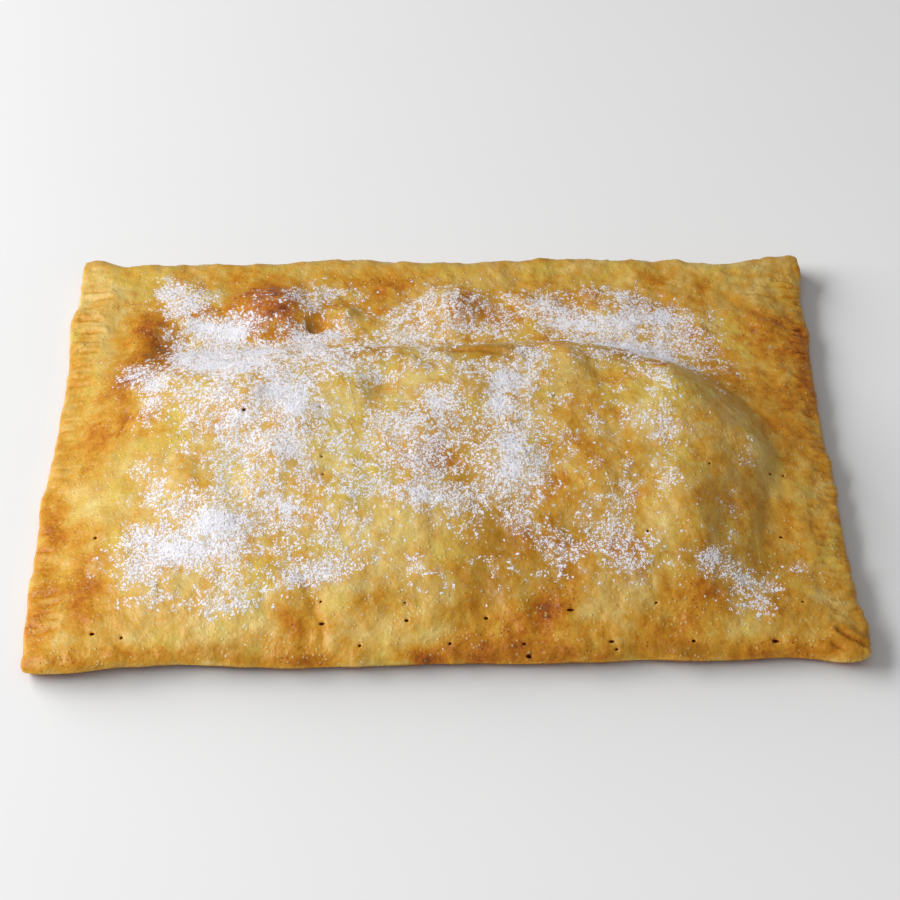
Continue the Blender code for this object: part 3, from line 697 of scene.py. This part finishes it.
bakeSettings = {
    "plain": 0.355,                # 0 is raw dough, 1 is burnt
    "browner": 0.62,               # how far the brown and the pale patches change it
    "paler": 0.32,
    "rawEdge": (0.16, 1.2, 2.4),   # the cut edge is this much paler, in full above the second height
    # and this much darker where it met the tray, below these heights
    "burntEdge": (0.55, 0.7, 1.5),
    "underside": 0.80,
    # painted shade in the creases and fork marks: the next line darkens the crust with their depth
    "grooves": (0.20, 0.9),        # darker for each millimetre of depth, up to the second number
    "film": (0.28, 0.58),          # finest sugar where it lies thin, and what a deep drift adds
    "deep": (0.44, 0.96),          # a drift's strength, from thin to deep
    # how far a point faces up where the rim and the underside end, and the top begins
    "rimFacing": (0.15, 0.6),
    "underFacing": (-0.6, 0.1),
    "upperFacing": (0.3, 0.7),
}


def paintCrust(mesh, settings):
    # three values a point: how far it is baked, with painted light and shade added; how damp it stayed,
    # with painted shade added; and how much sugar lies there
    places, normals = pointsOf(mesh)
    x, y, z = places.T / mm
    facing = normals[:, 2]
    bake = settings["plain"] + gathered(x, y, bakeAndShadePatches) * settings["browner"]
    bake -= gathered(x, y, palePatches) * settings["paler"]
    rim = 1 - smoothStep(facing, *settings["rimFacing"])
    strength, low, high = settings["rawEdge"]
    bake -= strength * rim * smoothStep(z, low, high)
    strength, low, high = settings["burntEdge"]
    bake += strength * rim * (1 - smoothStep(z, low, high))
    under = 1 - smoothStep(facing, *settings["underFacing"])
    bake = bake * (1 - under) + settings["underside"] * under
    # painted shade in the prick holes, added to the bake
    holeShade = np.empty(len(x), np.float32)
    mesh.attributes["paintedHoleShade"].data.foreach_get("value", holeShade)
    bake += holeShade
    upper = smoothStep(facing, *settings["upperFacing"])
    # painted shade: the crust is darker the deeper a crease or fork mark goes
    strength, deepest = settings["grooves"]
    bake += strength * np.minimum(grooves(x, y, crustSettings)[0], deepest) * upper
    cover, amount = sugarCover(x, y, sugarSettings)
    thin, added = settings["film"]
    film = cover * (thin + added * smoothStep(amount, *settings["deep"])) * upper
    damp = gathered(x, y, dampAndShadePatches) * upper
    for name, values in (("bake", bake), ("damp", damp), ("film", film)):
        layer = mesh.attributes.new(name, "FLOAT", "POINT")
        layer.data.foreach_set("value", values.astype(np.float32))


pastrySettings = {
    # from raw dough to burnt
    "stops": [
        (0.0, (236, 216, 138)), (0.15, (229, 198, 116)), (0.3, (221, 179, 92)), (0.45, (217, 162, 56)),
        (0.6, (207, 139, 28)), (0.75, (190, 111, 12)), (0.88, (166, 82, 6)), (1.0, (112, 48, 6)),
    ],
    "colours": {
        # the colour of juice-soaked dough, also used to paint shade
        "damp": (173, 121, 22),    # where juice soaked into the dough
        "lemon": (215, 184, 60),   # where it stayed soft over the wet filling
        "freckle": (130, 54, 14),
        # pale blister tops, partly painted highlight
        "blisterSheen": (238, 216, 150),    # pale tops of the tiny blisters
        "sugar": (250, 248, 254),
    },
    # size in metres, detail, roughness where it isn't 0.5
    "clouds": {
        "blotches": (0.017, 4.0, 0.55), "patches": (0.0085, 2.0), "mottle": (0.0048, 4.0, 0.6),
        "specks": (0.0013, 3.0, 0.6), "soft": (0.022, 3.0), "freckled": (0.007, 2.0),
        "blistered": (0.008, 2.0), "grains": (0.0010, 2.0, 0.55), "curls": (0.0019, 1.0),
        "gloss": (0.0035, 3.0, 0.6), "swells": (0.0042, 2.0), "ripples": (0.0015, 2.0),
        "pores": (0.0006, 2.0),
    },
    # how strongly they change the bake; specks show more where it is browner
    "uneven": {"blotches": 0.36, "patches": 0.44, "mottle": 0.46, "specks": 0.14, "brownSpecks": 0.4},
    "freckleSpacing": 0.0017,
    "blisterSpacing": 0.0023,
    # what makes fine sugar show, less what stays bare, and how soft its edge is
    "powder": {"film": 1.1, "grains": 1.6, "curls": 0.34, "bare": 0.58, "edge": 0.34},
    "curlWidth": 0.055,
    # how far the fine sugar and the haze round it whiten the crust
    "whitened": {"powder": 0.94, "film": 0.38},
    "roughness": {"plain": 0.42, "gloss": 0.4, "powder": 0.4},
    # shares of the fine relief; freckles sink
    "bump": {"swells": 2.0, "ripples": 0.5, "pores": 0.12, "powder": 0.6, "blisters": 0.6, "freckles": 0.3},
    "bumpHeight": 0.00042,
    "shader": {
        "IOR": 1.45, "Specular IOR Level": 0.38, "Subsurface Weight": 0.12,
        "Subsurface Radius": (1.0, 0.55, 0.2), "Subsurface Scale": 0.003,
    },
}


def pastryMaterial(settings):
    material, shader, place = newMaterial("bakedPastry")
    colours = {name: screenColour(*colour) for name, colour in settings["colours"].items()}
    clouds = {name: place.clouds(*kind) for name, kind in settings["clouds"].items()}
    bake, damp, film = place.painted("bake"), place.painted("damp"), place.painted("film")
    blotches, mottle = clouds["blotches"] - 0.5, clouds["mottle"] - 0.5
    uneven = settings["uneven"]
    done = bake + blotches * uneven["blotches"] + (clouds["patches"] - 0.5) * uneven["patches"]
    done = done + mottle * uneven["mottle"]
    done = done + (clouds["specks"] - 0.5) * (bake * uneven["brownSpecks"] + uneven["specks"])
    stops = [(at, screenColour(*colour)) for at, colour in settings["stops"]]
    crustColour = place.node("ShaderNodeValToRGB", {"stops": stops}, {"Fac": done})
    soft = clouds["soft"].ease(0.46, 0.62) * (1 - done.ease(0.30, 0.52))
    crustColour = (soft * 0.5).mixed(crustColour, colours["lemon"])
    # darker where juice soaked in and where shade is painted
    soakedAndShaded = (damp * 1.1 + mottle * 0.5).ease(0.0, 1.0)
    crustColour = soakedAndShaded.mixed(crustColour, colours["damp"])
    # freckles where the crust caught the heat, and pale tops on the tiny blisters, partly painted
    # highlights
    freckles = 1 - place.dots(settings["freckleSpacing"]).ease(0.10, 0.30)
    freckles = freckles * clouds["freckled"].ease(0.45, 0.57)
    freckles = freckles * (bake + blotches * 0.4).ease(0.40, 0.62)
    crustColour = (freckles * 0.85).mixed(crustColour, colours["freckle"])
    # pale blister tops, partly a painted highlight
    blisters = 1 - place.dots(settings["blisterSpacing"]).ease(0.08, 0.34)
    blisters = blisters * clouds["blistered"].ease(0.44, 0.58)
    crustColour = (blisters * 0.5).mixed(crustColour, colours["blisterSheen"])
    # fine sugar in curls and grains, with a thin haze round it
    share = settings["powder"]
    curls = 1 - place.maths("ABSOLUTE", clouds["curls"] - 0.5).ease(0.0, settings["curlWidth"])
    powder = film * share["film"] + (clouds["grains"] - 0.5) * share["grains"]
    powder = (powder + curls * share["curls"] - share["bare"]).ease(0.0, share["edge"])
    whitened = powder * settings["whitened"]["powder"] + film * settings["whitened"]["film"]
    feed(shader, "Base Color", whitened.mixed(crustColour, colours["sugar"]))
    rough = settings["roughness"]
    gloss = (clouds["gloss"] - 0.5) * rough["gloss"] + rough["plain"]
    feed(shader, "Roughness", gloss + powder * rough["powder"])
    share = settings["bump"]
    skin = clouds["swells"] * share["swells"] + clouds["ripples"] * share["ripples"]
    skin = skin + clouds["pores"] * share["pores"] + powder * share["powder"]
    skin = skin + blisters * share["blisters"] - freckles * share["freckles"]
    bump = {"Strength": 1.0, "Distance": settings["bumpHeight"], "Height": skin}
    feed(shader, "Normal", place.node("ShaderNodeBump", None, bump, "Normal"))
    setValues(shader, settings["shader"])
    return material


# Icing sugar: every kind is one mesh of flat loose flecks that lie in the crust. Width is in
# millimetres, long and thick count in widths, and crowd is how far a kind keeps to deep drifts.
grainKinds = {
    "sugarClots": {"count": 6000, "sides": 9, "width": (0.66, 1.25), "long": (1.0, 1.9),
                   "thick": 0.26, "crowd": 1.3, "ragged": 0.40, "seed": 21},
    "sugarFlakes": {"count": 9700, "sides": 6, "width": (0.50, 0.88), "long": (1.1, 2.1),
                    "thick": 0.28, "crowd": 0.9, "ragged": 0.36, "seed": 22},
    "sugarStrands": {"count": 9700, "sides": 6, "width": (0.34, 0.56), "long": (2.0, 3.8),
                     "thick": 0.38, "crowd": 0.8, "ragged": 0.30, "seed": 24},
    "sugarCrumbs": {"count": 16300, "sides": 4, "width": (0.38, 0.70), "long": (1.0, 1.8),
                    "thick": 0.34, "crowd": 0.8, "ragged": 0.30, "seed": 23},
    "sugarDust": {"count": 24500, "sides": 3, "width": (0.28, 0.50), "long": (1.0, 1.9),
                  "thick": 0.40, "crowd": 0.5, "ragged": 0.25, "seed": 25},
}
sugarSettings = {
    "clumps": [(9.0, 0.24), (3.4, 0.38), (1.7, 0.42)],   # size, and how strongly they part it
    "clumpSeed": 11.0,
    "least": 0.04,                 # drifts thinner than this aren't parted
    "edge": (0.22, 0.58),          # from bare to covered
    "spacing": 0.5,                # of the places that a grain may fall on
    "bareRim": (4.0, 12.0),        # distance from the edges, from none to all of it
    "gathering": 1.5,              # the higher, the fewer grains at the edges of a drift
    "stray": 0.008,                # a few grains where a drift left the crust bare
    "jitter": 0.3,                 # how far a grain may land from its place
    "shapes": 9,                   # different flecks of each kind
    "flatTop": 0.38,               # half width of a fleck's top, where its foot has 0.5
    "steepest": 0.3,               # no grain stays where the crust faces up less than this
    "lift": 0.15,                  # a grain's middle above the crust, in its own thickness
    "tones": [(240, 238, 244), (253, 251, 255)],
    "roughness": (0.75, 0.2),      # and how much it varies
}


def sugarCover(x, y, settings):
    # whether the sifted sugar lies or left the crust bare, with lacy edges, and how deep it is
    flat = np.stack([x, y, np.zeros_like(x)], 1)
    amount = gathered(x, y, sugarDrifts)
    some = amount > settings["least"]
    ragged = np.zeros_like(x)
    for index, (size, strength) in enumerate(settings["clumps"]):
        ragged[some] += strength * noiseAt(flat[some], size, settings["clumpSeed"] + index)
    return smoothStep(amount + ragged, *settings["edge"]), amount


def sugarField(settings):
    halfX, halfY = int(cadHigh.x / mm), int(cadHigh.y / mm)
    step = settings["spacing"]
    x, y = np.meshgrid(np.arange(-halfX, halfX, step), np.arange(-halfY, halfY, step))
    x, y = x.ravel(), y.ravel()
    cover, amount = sugarCover(x, y, settings)
    edge = np.minimum(halfX - np.abs(x), halfY - np.abs(y))
    return x, y, cover * smoothStep(edge, *settings["bareRim"]), amount


def grainShape(kind, settings, draw):
    # one ragged flat fleck about its own middle, with a slanting rim
    bm = bmesh.new()
    sides = kind["sides"]
    bmesh.ops.create_cone(bm, cap_ends=True, segments=sides, radius1=0.5,
                          radius2=settings["flatTop"], depth=1.0)
    pulls = draw.uniform(1 - kind["ragged"], 1 + kind["ragged"], sides)
    for vert in bm.verts:
        side = round(math.atan2(vert.co.y, vert.co.x) / (2 * math.pi) * sides) % sides
        vert.co.x *= pulls[side]
        vert.co.y *= pulls[side]
    bmesh.ops.triangulate(bm, faces=bm.faces)
    verts = np.array([vert.co[:] for vert in bm.verts])
    faces = np.array([[vert.index for vert in face.verts] for face in bm.faces])
    bm.free()
    return verts, faces


def scatterGrains(name, kind, settings, field, tree, material):
    draw = np.random.default_rng(kind["seed"])
    x, y, cover, amount = field
    chance = (cover ** settings["gathering"] + settings["stray"]) * amount ** kind["crowd"]
    cells = draw.choice(len(x), size=kind["count"], p=chance / chance.sum())
    jitter = settings["jitter"]
    atX = x[cells] + draw.uniform(-jitter, jitter, len(cells))
    atY = y[cells] + draw.uniform(-jitter, jitter, len(cells))
    shapes = [grainShape(kind, settings, draw) for _ in range(settings["shapes"])]
    # every grain falls on the crust and lies as the crust does there
    stacks = [[] for _ in shapes]
    for index in range(len(cells)):
        start = Vector((atX[index] * mm, atY[index] * mm, cadHigh.z + 0.05))
        place, normal, _, _ = tree.ray_cast(start, Vector((0, 0, -1)))
        if place is None or normal.z < settings["steepest"]:
            continue
        width = draw.uniform(*kind["width"]) * mm
        size = Vector((width * draw.uniform(*kind["long"]), width, width * kind["thick"]))
        spin = Matrix.Rotation(draw.uniform(0, math.pi), 3, "Z")
        tilt = normal.to_track_quat("Z", "Y").to_matrix()
        turn = tilt @ spin @ Matrix.Diagonal(size)
        middle = place + normal * size.z * settings["lift"]
        stacks[index % len(shapes)].append((np.array(turn), np.array(middle)))
    # one mesh of them all
    verts, faces, first = [], [], 0
    for (shapeVerts, shapeFaces), stack in zip(shapes, stacks):
        turns = np.array([turn for turn, _ in stack])
        middles = np.array([middle for _, middle in stack])
        verts.append((np.einsum("kij,nj->kni", turns, shapeVerts) + middles[:, None]).reshape(-1, 3))
        starts = first + np.arange(len(stack)) * len(shapeVerts)
        faces.append((shapeFaces[None] + starts[:, None, None]).reshape(-1, 3))
        first += len(stack) * len(shapeVerts)
    verts, faces = np.concatenate(verts), np.concatenate(faces)
    mesh = bpy.data.meshes.new(name)
    mesh.from_pydata(verts.tolist(), [], faces.tolist())
    mesh.materials.append(material)
    grains = addObject(name, mesh)
    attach(grains, "root")
    print(name, len(faces), "triangles")
    return grains


def sugarMaterial(settings):
    material, shader, place = newMaterial("icingSugar")
    dull, bright = (screenColour(*tone) for tone in settings["tones"])
    feed(shader, "Base Color", place.clouds(0.002).ease(0.3, 0.7).mixed(dull, bright))
    roughness, varied = settings["roughness"]
    feed(shader, "Roughness", place.clouds(0.001) * varied + roughness)
    setValues(shader, {"Specular IOR Level": 0.2, "Subsurface Weight": 0.0})
    return material


addCamera(viewSettings)
lit = addLights(lightSettings)
lit["table"].objects.link(addTable(tableSettings))
print("camera, light and table are set")

crust = makeCrust(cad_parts["strudel"], crustSettings)
print("crust", len(crust.data.polygons), "faces")

tree = BVHTree.FromObject(crust, bpy.context.evaluated_depsgraph_get())
field = sugarField(sugarSettings)
whiteSugar = sugarMaterial(sugarSettings)
lit["food"].objects.link(crust)
for name, kind in grainKinds.items():
    grains = scatterGrains(name, kind, sugarSettings, field, tree, whiteSugar)
    lit["food"].objects.link(grains)
print("sugar is sifted")
